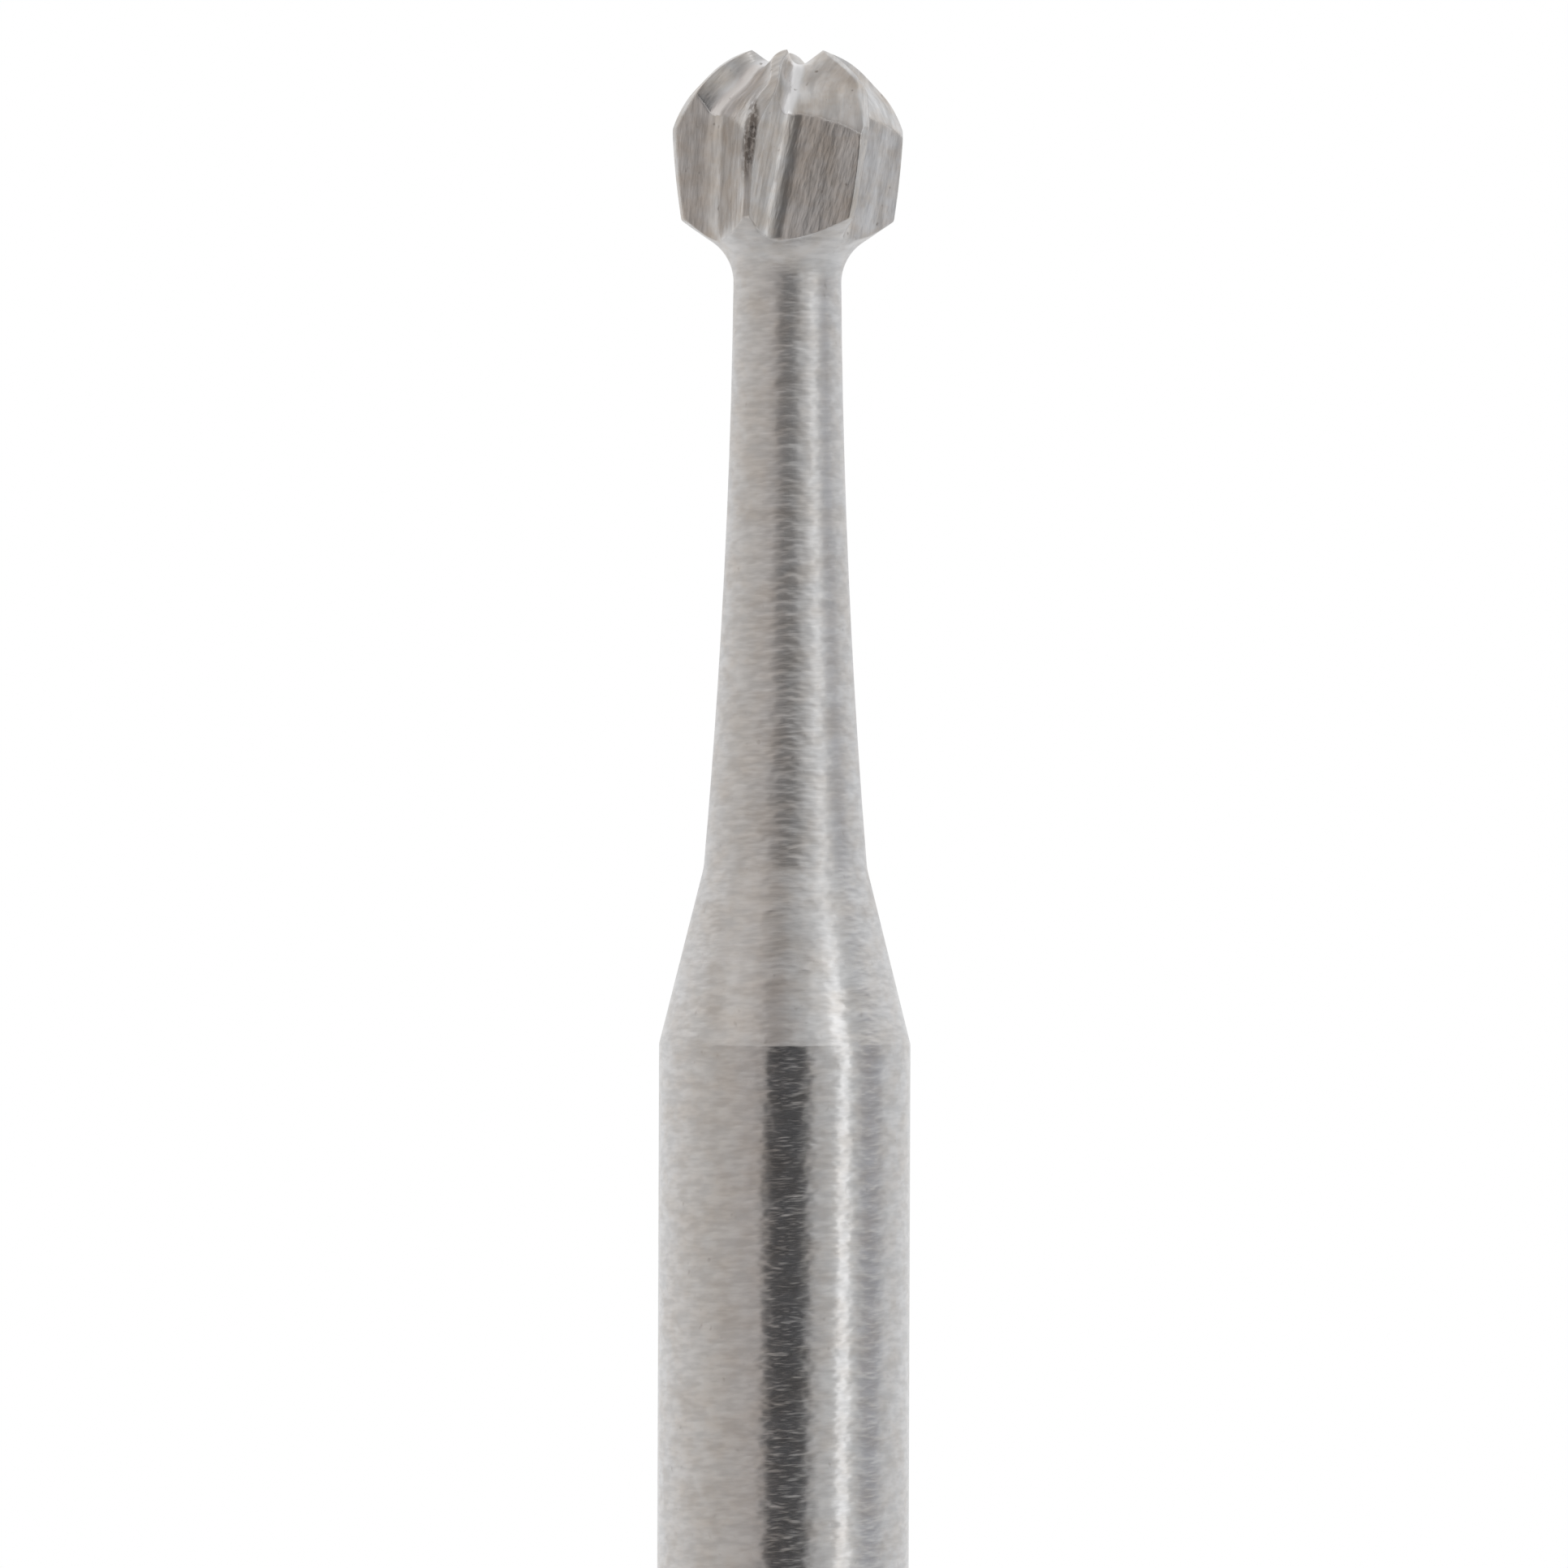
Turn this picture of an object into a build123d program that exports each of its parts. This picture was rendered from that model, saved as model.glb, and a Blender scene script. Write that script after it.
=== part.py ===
"""A carbide burr: six ground blades on a domed head, a slender neck and a plain round shank.

It is one solid. +Z runs along its axis, from the middle of the flat end of the shank to the head.
Lengths are in millimetres and angles in degrees.
"""

from build123d import *
from math import cos, hypot, radians, sin, sqrt, tan
import os

# Shank
overall_length = 19.0  # from the flat end to the tips of the blades
shank_diameter = 1.60
shank_length = 12.68  # the straight length that a chuck grips
shank_end_chamfer = 0.10

# Cone and neck
cone_length = 1.12
cone_end_diameter = 1.04  # where the cone runs into the neck
neck_diameter = 0.684  # at the slender end, behind the head
neck_curve_radius = 50.0  # the neck swells in one long arc
neck_fillet_radius = 0.31  # between the neck and the back of the head

# Head, before its flutes are ground
head_diameter = 1.49  # at the shoulder
head_length = 1.082  # from the rear corner to the tips of the blades
head_rear_diameter = 1.36
head_side_radius = 5.0  # the side is slightly barrelled
shoulder_round = 0.06
rear_cone_angle = 56.0  # from the axis
rear_corner_round = 0.03
dome_height = 0.549  # from the shoulder to the top of the whole dome
tip_circle_radius = 0.264  # the blades end on this circle round the axis

# Flutes along the side of the head
flute_count = 6
flute_depth = 0.266  # root below the shoulder
flute_tilt = 9.4  # lean of the groove from the axis, for a right-hand cut
flute_taper = 2.9  # lean of its root towards the axis, going backwards
flute_trail = 0.047  # root behind the middle plane of the flute
rake_wall_angle = 50.0  # turn of the steep wall that faces the cut
back_wall_angle = 11.0  # turn of the shallow wall that rises to the next blade
flute_root_radius = 0.145

# The same flutes over the dome, where the wheel follows the round of the blades
dome_flute_depth = 0.18  # root below the dome
dome_rake_wall_angle = 68.0
dome_root_radius = 0.093
# each station: turn up from the horizontal, root across, rise of the root, back wall angle
dome_stations = (
    (16, -0.055, 0.000, 1.0),
    (33, -0.016, 0.000, 3.0),
    (45, 0.016, -0.003, 5.5),
    (57, 0.034, 0.004, 9.0),
    (68, 0.054, 0.039, 22.0),
    (78, 0.029, 0.001, 37.5),
    (90, 0.006, 0.000, 27.5),
    (101, 0.000, 0.077, 24.0),
    (112, 0.000, 0.185, 20.0),
)

# Heights along the axis
cone_end_z = shank_length + cone_length
rear_z = overall_length - head_length
rear_cone_height = (head_rear_diameter - neck_diameter) / 2 / tan(radians(rear_cone_angle))
neck_end_z = rear_z - rear_cone_height
dome_radius = ((head_diameter / 2) ** 2 + dome_height**2) / (2 * dome_height)
dome_centre_z = overall_length - sqrt(dome_radius**2 - tip_circle_radius**2)
shoulder_z = dome_centre_z + dome_radius - dome_height

cutter_reach = 0.8 * head_diameter  # the cutters end well outside the head


def flute_section(z, turn, across, root, rake_angle, back_angle, root_radius):
    """A flute's section in a plane through the cross axis at height z, turned up by an angle."""
    rake_run = cutter_reach / tan(radians(rake_angle))
    back_rise = cutter_reach * tan(radians(back_angle))
    outward = Plane(
        origin=(0, 0, z),
        x_dir=(1, 0, 0),
        z_dir=(0, -sin(radians(turn)), -cos(radians(turn))),
    )
    with BuildSketch(outward) as section:
        with BuildLine():
            Polyline(
                (across, root),
                (across + cutter_reach, root + back_rise),
                (across + cutter_reach, root + cutter_reach),
                (across - rake_run, root + cutter_reach),
                close=True,
            )
        make_face()
        fillet(section.vertices().sort_by(Axis.Y)[0], root_radius)
    return section.sketch


# The groove along the side: one section, drawn out in the leaning direction of the flute
with BuildPart() as side_cutter:
    groove_start_z = neck_end_z - neck_fillet_radius
    groove_run = (tan(radians(flute_tilt)), -tan(radians(flute_taper)), 1)
    drop = dome_centre_z - groove_start_z
    groove_length = (overall_length - groove_start_z) * hypot(*groove_run)
    side_section = flute_section(
        groove_start_z,
        0,
        -flute_trail - drop * groove_run[0],
        head_diameter / 2 - flute_depth + drop * groove_run[1],
        rake_wall_angle,
        back_wall_angle,
        flute_root_radius,
    )
    extrude(side_section, amount=groove_length, dir=groove_run)

# The groove over the dome: sections that turn about the middle of the dome
with BuildPart() as dome_cutter:
    dome_sections = [
        flute_section(
            dome_centre_z,
            turn,
            across,
            dome_radius - dome_flute_depth + rise,
            dome_rake_wall_angle,
            back_angle,
            dome_root_radius,
        )
        for turn, across, rise, back_angle in dome_stations
    ]
    loft(dome_sections)

with BuildPart() as burr:
    with BuildSketch(Plane.XZ) as half_section:
        with BuildLine():
            Polyline(
                (0, dome_centre_z + dome_radius),
                (0, 0),
                (shank_diameter / 2 - shank_end_chamfer, 0),
                (shank_diameter / 2, shank_end_chamfer),
                (shank_diameter / 2, shank_length),
                (cone_end_diameter / 2, cone_end_z),
            )
            RadiusArc(
                (cone_end_diameter / 2, cone_end_z),
                (neck_diameter / 2, neck_end_z),
                neck_curve_radius,
            )
            Line((neck_diameter / 2, neck_end_z), (head_rear_diameter / 2, rear_z))
            RadiusArc(
                (head_rear_diameter / 2, rear_z),
                (head_diameter / 2, shoulder_z),
                -head_side_radius,
            )
            RadiusArc(
                (head_diameter / 2, shoulder_z),
                (0, dome_centre_z + dome_radius),
                -dome_radius,
            )
        make_face()
        corners = half_section.vertices().sort_by(Axis.Y)
        neck_corner, rear_corner, shoulder_corner = corners[-4:-1]
        fillet(neck_corner, neck_fillet_radius)
        fillet(rear_corner, rear_corner_round)
        fillet(shoulder_corner, shoulder_round)
    revolve(axis=Axis.Z)
    for turned in PolarLocations(0, flute_count, start_angle=180):
        add(side_cutter.part.moved(turned), mode=Mode.SUBTRACT)
        add(dome_cutter.part.moved(turned), mode=Mode.SUBTRACT)

burr.part.label = "burr"
os.makedirs("parts", exist_ok=True)
export_step(burr.part, "parts/burr.step")
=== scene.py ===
"""Looks of a carbide burr: a fluted, domed head on a slender neck and a plain round shank.

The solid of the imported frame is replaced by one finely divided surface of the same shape, dressed
as ground hard metal. Shapes are worked out in millimetres from the middle of the shank's flat end,
with +Z towards the head, and turned to metres when the mesh is made.
"""

import logging
import math
from dataclasses import dataclass, field
from enum import IntEnum
from typing import Any

import bpy
import numpy as np
from mathutils import Matrix, Vector

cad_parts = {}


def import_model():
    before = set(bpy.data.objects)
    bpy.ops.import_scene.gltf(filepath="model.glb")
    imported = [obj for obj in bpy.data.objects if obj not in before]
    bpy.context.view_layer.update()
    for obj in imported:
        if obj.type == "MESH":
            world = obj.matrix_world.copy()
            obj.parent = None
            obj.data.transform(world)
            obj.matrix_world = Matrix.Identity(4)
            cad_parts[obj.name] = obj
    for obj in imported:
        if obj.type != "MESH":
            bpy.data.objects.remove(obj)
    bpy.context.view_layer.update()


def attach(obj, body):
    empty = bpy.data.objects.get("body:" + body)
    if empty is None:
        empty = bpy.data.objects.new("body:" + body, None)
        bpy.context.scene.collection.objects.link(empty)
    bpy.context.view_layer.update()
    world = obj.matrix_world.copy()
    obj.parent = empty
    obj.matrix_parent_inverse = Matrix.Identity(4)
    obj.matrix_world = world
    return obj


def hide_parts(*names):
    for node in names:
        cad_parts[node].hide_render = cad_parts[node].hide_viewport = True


LOG = logging.getLogger("burr")
MM = 0.001
TINY = 1e-9
FAR = 9.0  # in millimetres, well beyond the head
Array = np.ndarray

# settings of the nodes
SOFTLY = {"interpolation_type": "SMOOTHSTEP"}
ADDED = {"operation": "ADD"}
TIMES = {"operation": "MULTIPLY"}
VALUES = {"data_type": "FLOAT"}
COLOURS = {"data_type": "RGBA"}
TINTED = {"data_type": "RGBA", "blend_type": "MULTIPLY"}
LIT = {"data_type": "RGBA", "blend_type": "ADD"}


class Face(IntEnum):
    """How a stretch of the surface was made, or that a highlight is painted on it. A value in between is
    partly the one, partly the next.
    """

    SHANK = -1
    TURNED = 0
    GROUND = 1
    # where a near-white highlight is painted along the dome groove's root
    PAINTED_HIGHLIGHT = 2


def linear(code: str) -> tuple[float, float, float, float]:
    """Turns an sRGB colour into Blender's linear colour.

    Args:
        code: six hexadecimal digits after a hash sign.

    Returns:
        Red, green, blue and an opaque alpha, each from 0 to 1.
    """
    shares = [int(code[i : i + 2], 16) / 255 for i in (1, 3, 5)]
    parts = [s / 12.92 if s <= 0.04045 else ((s + 0.055) / 1.055) ** 2.4 for s in shares]
    return (parts[0], parts[1], parts[2], 1.0)


def node(
    tree: bpy.types.NodeTree, kind: str, settings: dict[str, str], *inputs: Any, **named: Any
) -> bpy.types.Node:
    """Adds one node with its settings and its links.

    Args:
        tree: the node tree that gets the node.
        kind: Blender's name for the node, after "ShaderNode".
        settings: properties of the node itself.
        *inputs: what goes into the inputs in use, in their order. Each is a value, an output socket,
            or a node, which stands for its first output in use.
        **named: the same for inputs by name, with underscores for blanks.

    Returns:
        The new node.
    """
    made = tree.nodes.new("ShaderNode" + kind)
    for name, value in settings.items():
        setattr(made, name, value)
    in_use = [socket for socket in made.inputs if socket.enabled]
    pairs = list(zip(in_use, inputs))
    pairs += [(made.inputs[name.replace("_", " ")], value) for name, value in named.items()]
    for socket, value in pairs:
        if isinstance(value, bpy.types.Node):
            value = next(output for output in value.outputs if output.enabled)
        if isinstance(value, bpy.types.NodeSocket):
            tree.links.new(value, socket)
        else:
            socket.default_value = value
    return made


def spline(stations: Array, values: Array, at: Array) -> Array:
    """A natural cubic curve through given values.

    Between two stations the value is the straight line plus the two cubic terms whose second
    slopes agree with the neighbours' and vanish at both ends.

    Args:
        stations: where the values are known, in rising order.
        values: one row of known values for each station.
        at: where the values are wanted, at any shape of array.

    Returns:
        The values there, with the columns of values as the last axis.
    """
    gap = np.diff(stations)
    count = len(stations)
    system = np.eye(count)
    right = np.zeros_like(values)
    inner = np.arange(1, count - 1)
    system[inner, inner - 1] = gap[:-1]
    system[inner, inner] = 2 * (gap[:-1] + gap[1:])
    system[inner, inner + 1] = gap[1:]
    slope = np.diff(values, axis=0) / gap[:, None]
    right[1:-1] = 6 * np.diff(slope, axis=0)
    bend = np.linalg.solve(system, right)
    place = np.clip(at, stations[0], stations[-1])
    i = np.clip(np.searchsorted(stations, place) - 1, 0, count - 2)
    width = gap[i][..., None]
    b = (place - stations[i])[..., None] / width
    a = 1 - b
    cubic = ((a**3 - a) * bend[i] + (b**3 - b) * bend[i + 1]) * width**2 / 6
    return a * values[i] + b * values[i + 1] + cubic


def blend(parts: Array, round_: float) -> Array:
    """The smallest of several distances, blended where two of them are nearly alike.

    It is minus k times the logarithm of the sum of exp(-distance / k), taken from the smallest one.

    Args:
        parts: the distances, one along the first axis each.
        round_: k, the size of the blend.

    Returns:
        The blended distance.
    """
    nearest = parts.min(0)
    return nearest - round_ * np.log(np.exp(-(parts - nearest) / round_).sum(0))


def directions(polar: Array, azimuth: Array) -> Array:
    """Unit vectors given by two angles, as on a globe.

    Args:
        polar: angle from +Z, in radians.
        azimuth: angle from -Y towards +X, in radians.

    Returns:
        The vectors, with x, y and z as the last axis.
    """
    across = np.sin(polar) * np.sin(azimuth)
    out = np.sin(polar) * np.cos(azimuth)
    up = np.cos(polar) + np.zeros_like(across)
    return np.stack([across, -out, up], -1)


def surface(
    name: str, verts: Array, quads: Array, triangles: Array, marks: Array | None = None
) -> bpy.types.Object:
    """Turns whole arrays of corners and faces into a smooth mesh object.

    Args:
        name: the object's name.
        verts: corners, in metres.
        quads: four corners a face.
        triangles: three corners a face.
        marks: one vector a corner, kept as the attribute "marks".

    Returns:
        The object, linked to the scene.
    """
    mesh = bpy.data.meshes.new(name)
    loops = np.concatenate([quads.ravel(), triangles.ravel()]).astype(np.int32)
    sizes = np.concatenate([np.full(len(quads), 4), np.full(len(triangles), 3)])
    starts = np.concatenate([[0], np.cumsum(sizes)[:-1]]).astype(np.int32)
    mesh.vertices.add(len(verts))
    mesh.vertices.foreach_set("co", verts.astype(np.float32).ravel())
    mesh.loops.add(len(loops))
    mesh.loops.foreach_set("vertex_index", loops)
    mesh.polygons.add(len(sizes))
    mesh.polygons.foreach_set("loop_start", starts)
    mesh.polygons.foreach_set("use_smooth", np.ones(len(sizes), bool))
    mesh.update(calc_edges=True)
    if marks is not None:
        layer = mesh.attributes.new("marks", "FLOAT_VECTOR", "POINT")
        layer.data.foreach_set("vector", marks.astype(np.float32).ravel())
    mesh.validate()
    made = bpy.data.objects.new(name, mesh)
    bpy.context.scene.collection.objects.link(made)
    return made


@dataclass(frozen=True)
class Corner:
    """A rounded corner of an outline, between two straight or nearly straight runs."""

    point: tuple[float, float]
    before: tuple[float, float]
    after: tuple[float, float]
    radius: float

    def _directions(self) -> tuple[Array, Array]:
        """Unit directions into and out of the corner."""
        into = np.subtract(self.point, self.before)
        out = np.subtract(self.after, self.point)
        return into / np.hypot(*into), out / np.hypot(*out)

    def turn(self) -> float:
        """The signed angle by which the outline turns, in radians."""
        into, out = self._directions()
        return math.atan2(into[0] * out[1] - into[1] * out[0], float(into @ out))

    def setback(self) -> float:
        """How far from the corner the arc starts and ends."""
        return self.radius * math.tan(abs(self.turn()) / 2)

    def arc(self, count: int) -> Array:
        """The arc's points, without its last one.

        The centre lies square to the incoming run at the point where the arc starts, and each
        point is that start turned about the centre.

        Args:
            count: how many points.

        Returns:
            An array of radius and height.
        """
        into, _ = self._directions()
        turn = self.turn()
        side = math.copysign(1.0, turn)
        start = np.asarray(self.point) - into * self.setback()
        spoke = side * self.radius * np.array([-into[1], into[0]])
        angle = np.linspace(0, turn, count, endpoint=False)
        turned = np.stack(
            [
                -spoke[0] * np.cos(angle) + spoke[1] * np.sin(angle),
                -spoke[0] * np.sin(angle) - spoke[1] * np.cos(angle),
            ],
            -1,
        )
        return start + spoke + turned


def bulged(start: Array, end: Array, radius: float, count: int) -> Array:
    """Points on an arc between two points, without its last one.

    Each point is on the chord, moved square to it by the arc's height there: the drop of a circle
    of the given radius from its crown, measured from the chord.

    Args:
        start: first point.
        end: last point.
        radius: positive where the arc swells to the right of the way from start to end.
        count: how many points.

    Returns:
        An array of radius and height.
    """
    start, end = np.asarray(start, float), np.asarray(end, float)
    chord = end - start
    length = np.hypot(*chord)
    share = np.linspace(0, 1, count, endpoint=False)
    off_middle = (share - 0.5) * length
    size = abs(radius)
    rise = np.sqrt(size**2 - off_middle**2) - math.sqrt(size**2 - length**2 / 4)
    right = np.array([chord[1], -chord[0]]) / length
    return start + share[:, None] * chord + math.copysign(1, radius) * rise[:, None] * right


@dataclass(frozen=True)
class Fineness:
    """How many rows of points each stretch of the outline gets, from the pole to the shank's end.

    A curved side is first drawn with as many points as samples says, and its rows are spaced on it.
    """

    dome: int = 117
    shoulder: int = 5
    side: int = 64
    rear_corner: int = 5
    rear_cone: int = 22
    neck_fillet: int = 16
    neck: int = 10
    cone_end: int = 5
    cone: int = 3
    shank_top: int = 5
    shank: int = 4
    shank_end: int = 3
    chamfer: int = 2
    flat_end: int = 2
    samples: int = 400


@dataclass
class Outline:
    """The turned outline of the burr before its flutes are ground, from the pole to the shank's end."""

    overall_length: float = 19.0
    shank_diameter: float = 1.60
    shank_length: float = 12.68
    shank_end_chamfer: float = 0.10
    cone_length: float = 1.12
    cone_end_diameter: float = 1.04
    neck_diameter: float = 0.684
    neck_curve_radius: float = 50.0
    neck_fillet_radius: float = 0.31
    head_diameter: float = 1.49
    head_length: float = 1.082
    head_rear_diameter: float = 1.36
    head_side_radius: float = 5.0
    shoulder_round: float = 0.06
    rear_cone_angle: float = 56.0
    rear_corner_round: float = 0.03
    dome_height: float = 0.549
    tip_circle_radius: float = 0.264
    # slight rounds that only this surface has
    cone_end_round: float = 0.35
    shank_top_round: float = 0.06
    shank_end_round: float = 0.02
    fineness: Fineness = Fineness()

    @property
    def dome_radius(self) -> float:
        """Radius of the dome, whose cap above the shoulder has the given height."""
        return ((self.head_diameter / 2) ** 2 + self.dome_height**2) / (2 * self.dome_height)

    @property
    def dome_centre_z(self) -> float:
        """Height of the dome's centre."""
        return self.overall_length - math.sqrt(self.dome_radius**2 - self.tip_circle_radius**2)

    def rows(self) -> tuple[Array, int]:
        """The outline's points, closely set on the head and wide apart on the shank.

        Each stretch is a straight run or an arc, cut back on both sides by its corners' arcs. The
        last row lies on the flat end, part of the way to its middle.

        Returns:
            An array of radius and height, and how many of its rows lie on the head.
        """
        centre, fine = self.dome_centre_z, self.fineness
        half = self.head_diameter / 2
        shoulder = np.array([half, centre + self.dome_radius - self.dome_height])
        rear = np.array([self.head_rear_diameter / 2, self.overall_length - self.head_length])
        neck_r = self.neck_diameter / 2
        rear_height = (rear[0] - neck_r) / math.tan(math.radians(self.rear_cone_angle))
        neck = np.array([neck_r, rear[1] - rear_height])
        cone_end = np.array([self.cone_end_diameter / 2, self.shank_length + self.cone_length])
        shank_top = np.array([self.shank_diameter / 2, self.shank_length])
        chamfer = np.array([self.shank_diameter / 2, self.shank_end_chamfer])
        end = np.array([self.shank_diameter / 2 - self.shank_end_chamfer, 0.0])
        foot = np.array([0.0, 0.0])

        side = bulged(shoulder, rear, -self.head_side_radius, fine.samples)
        neck_line = bulged(neck, cone_end, self.neck_curve_radius, fine.samples)
        pole_tangent = shoulder + np.array([centre - shoulder[1], shoulder[0]])
        corners = [
            Corner(tuple(shoulder), tuple(pole_tangent), tuple(side[1]), self.shoulder_round),
            Corner(tuple(rear), tuple(side[-1]), tuple(neck), self.rear_corner_round),
            Corner(tuple(neck), tuple(rear), tuple(neck_line[1]), self.neck_fillet_radius),
            Corner(tuple(cone_end), tuple(neck_line[-1]), tuple(shank_top), self.cone_end_round),
            Corner(tuple(shank_top), tuple(cone_end), tuple(chamfer), self.shank_top_round),
            Corner(tuple(chamfer), tuple(shank_top), tuple(end), self.shank_end_round),
            Corner(tuple(end), tuple(chamfer), tuple(foot), self.shank_end_round),
        ]
        back = [corner.setback() for corner in corners]
        shoulder_angle = math.acos((shoulder[1] - centre) / self.dome_radius)
        dome_angle = shoulder_angle - back[0] / self.dome_radius
        angle = np.linspace(0, dome_angle, fine.dome + 1, endpoint=False)[1:]
        dome = self.dome_radius * np.stack([np.sin(angle), np.cos(angle)], -1) + [0, centre]

        def run(line: Array, first: float, last: float, count: int) -> Array:
            """Points set evenly along a line, by its own length, without the last one.

            Args:
                line: the line's own points.
                first: distance of the first point from the line's start.
                last: distance left free at the line's end.
                count: how many points.

            Returns:
                An array of radius and height.
            """
            step = np.hypot(*np.diff(line, axis=0).T)
            along = np.concatenate([[0], np.cumsum(step)])
            place = np.linspace(first, along[-1] - last, count, endpoint=False)
            return np.stack([np.interp(place, along, line[:, i]) for i in (0, 1)], -1)

        side = np.vstack([side, rear])
        neck_line = np.vstack([neck_line, cone_end])
        head = [
            dome,
            corners[0].arc(fine.shoulder),
            run(side, back[0], back[1], fine.side),
            corners[1].arc(fine.rear_corner),
            run(np.stack([rear, neck]), back[1], back[2], fine.rear_cone),
            corners[2].arc(fine.neck_fillet),
        ]
        body = [
            run(neck_line, back[2], back[3], fine.neck),
            corners[3].arc(fine.cone_end),
            run(np.stack([cone_end, shank_top]), back[3], back[4], fine.cone),
            corners[4].arc(fine.shank_top),
            run(np.stack([shank_top, chamfer]), back[4], back[5], fine.shank),
            corners[5].arc(fine.shank_end),
            run(np.stack([chamfer, end]), back[5], back[6], fine.chamfer),
            corners[6].arc(fine.shank_end),
            run(np.stack([end, foot]), back[6], 0, fine.flat_end + 1)[:-1],
        ]
        on_head = sum(len(part) for part in head)
        return np.vstack(head + body), on_head


@dataclass
class Flutes:
    """The ground flutes: each is a straight leaning groove on the side that meets one over the dome."""

    count: int = 6
    depth: float = 0.266
    tilt: float = 9.4
    taper: float = 2.9
    trail: float = 0.047
    rake_angle: float = 50.0
    back_angle: float = 11.0
    root_radius: float = 0.165  # a little rounder than the solid's
    dome_depth: float = 0.18
    dome_rake_angle: float = 68.0
    dome_root_radius: float = 0.093
    crease_round: float = 0.004
    # the slight bulge of the side groove's back wall, and the strip beside the dome's root where a
    # near-white highlight is painted
    back_width: float = 0.33
    back_bulge: float = 0.0035
    painted_highlight_middle: float = 0.008
    painted_highlight_width: float = 0.034
    painted_highlight_end: float = 1.6  # in widths from its middle
    # turn up from the horizontal, root across, rise of the root, back wall angle
    stations: tuple[tuple[float, float, float, float], ...] = (
        (16, -0.055, 0.000, 1.0),
        (33, -0.016, 0.000, 3.0),
        (45, 0.016, -0.003, 5.5),
        (57, 0.034, 0.004, 9.0),
        (68, 0.054, 0.039, 22.0),
        (78, 0.029, 0.001, 37.5),
        (90, 0.006, 0.000, 27.5),
        (101, 0.000, 0.077, 24.0),
        (112, 0.000, 0.185, 20.0),
    )

    @staticmethod
    def _wall(ux: Array, uz: Array, x: Array, z: Array, rake: Array, back: Array, radius: float) -> Array:
        """Distance from the dome's centre to a rounded V-groove, along a ray in the groove's section.

        The ray leaves the metal where it has crossed both walls, or on the root's circle where it
        passes between the two points in which the walls touch that circle.

        Args:
            ux: the ray's share across the groove.
            uz: the ray's share towards the groove.
            x: the root corner, across.
            z: the root corner, outwards.
            rake: turn of the wall on the low side of x, in radians.
            back: turn of the wall on the high side of x, in radians.
            radius: the root's radius.

        Returns:
            The distance, infinite where the ray never leaves through the groove.
        """
        walls = []
        for nx, nz in ((np.sin(rake), np.cos(rake)), (-np.sin(back), np.cos(back))):
            towards = nx * ux + nz * uz
            safe = np.where(towards > TINY, towards, 1.0)
            walls.append(np.where(towards > TINY, (nx * x + nz * z) / safe, np.inf))
        corner = np.maximum(*walls)
        bx, bz = np.sin(rake) - np.sin(back), np.cos(rake) + np.cos(back)
        size = np.hypot(bx, bz)
        reach = radius / np.cos((rake + back) / 2)
        cx, cz = x + bx / size * reach, z + bz / size * reach
        ax, az = cx - radius * np.sin(rake), cz - radius * np.cos(rake)
        ex, ez = cx + radius * np.sin(back), cz - radius * np.cos(back)
        between = (ux * az - uz * ax > 0) & (ux * ez - uz * ex < 0)
        dot = ux * cx + uz * cz
        root = dot**2 - (ux**2 + uz**2) * (cx**2 + cz**2 - radius**2)
        circle = (dot - np.sqrt(np.maximum(root, 0))) / (ux**2 + uz**2)
        return np.where(between & (uz > 0), circle, corner)

    def side(self, x: Array, d: Array, h: Array, outline: Outline) -> Array:
        """Distance to the side groove along rays from the dome's centre.

        Its section is the same at every height and slides along the flute's lean, so the ray is
        followed in the sheared section. The back wall bulges by a hair, as a parabola across it.

        Args:
            x: the ray's share across the flute.
            d: the ray's share outwards.
            h: the ray's share upwards.
            outline: the turned outline.

        Returns:
            The distance along each ray.
        """
        lean, fall = math.tan(math.radians(self.tilt)), math.tan(math.radians(self.taper))
        root = outline.head_diameter / 2 - self.depth
        rake, back = math.radians(self.rake_angle), math.radians(self.back_angle)
        reach = self._wall(x - lean * h, d - fall * h, -self.trail, root, rake, back, self.root_radius)
        past_root = np.clip(((x - lean * h) * reach + self.trail) / self.back_width, 0, 1)
        return reach + 4 * self.back_bulge * past_root * (1 - past_root)

    def station(self, turn: Array) -> Array:
        """Root across, rise of the root and back wall angle at each turn up from the horizontal."""
        table = np.array(self.stations)
        return np.moveaxis(spline(table[:, 0], table[:, 1:], turn), -1, 0)

    def over_dome(self, x: Array, d: Array, h: Array, outline: Outline) -> Array:
        """Distance to the dome groove along rays from the dome's centre.

        The groove's section turns about the dome's centre. A ray stays in one section plane, and
        that plane's turn gives the root's place and the back wall's angle.

        Args:
            x: the ray's share across the flute.
            d: the ray's share outwards.
            h: the ray's share upwards.
            outline: the turned outline.

        Returns:
            The distance along each ray, infinite outside the turns that the wheel reaches.
        """
        table = np.array(self.stations)
        turn = np.degrees(np.arctan2(h, d))
        across, rise, back = self.station(turn)
        root = outline.dome_radius - self.dome_depth + rise
        rake = np.full_like(turn, math.radians(self.dome_rake_angle))
        reach = self._wall(x, np.hypot(d, h), across, root, rake, np.radians(back), self.dome_root_radius)
        return np.where((turn < table[0, 0]) | (turn > table[-1, 0]), np.inf, reach)

    def cut(self, polar: Array, azimuth: Array, outline: Outline) -> Array:
        """Distance to the surface of flute 0 along rays from the dome's centre.

        It is the nearer of the two grooves, with their crease blended.

        Args:
            polar: the ray's angle from +Z, in radians.
            azimuth: the ray's angle from -Y towards +X, in radians.
            outline: the turned outline.

        Returns:
            The distance along each ray.
        """
        x, d = np.sin(polar) * np.sin(azimuth), np.sin(polar) * np.cos(azimuth)
        h = np.cos(polar) + np.zeros_like(x)
        both = [self.side(x, d, h, outline), self.over_dome(x, d, h, outline)]
        return blend(np.minimum(both, FAR), self.crease_round)


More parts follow.
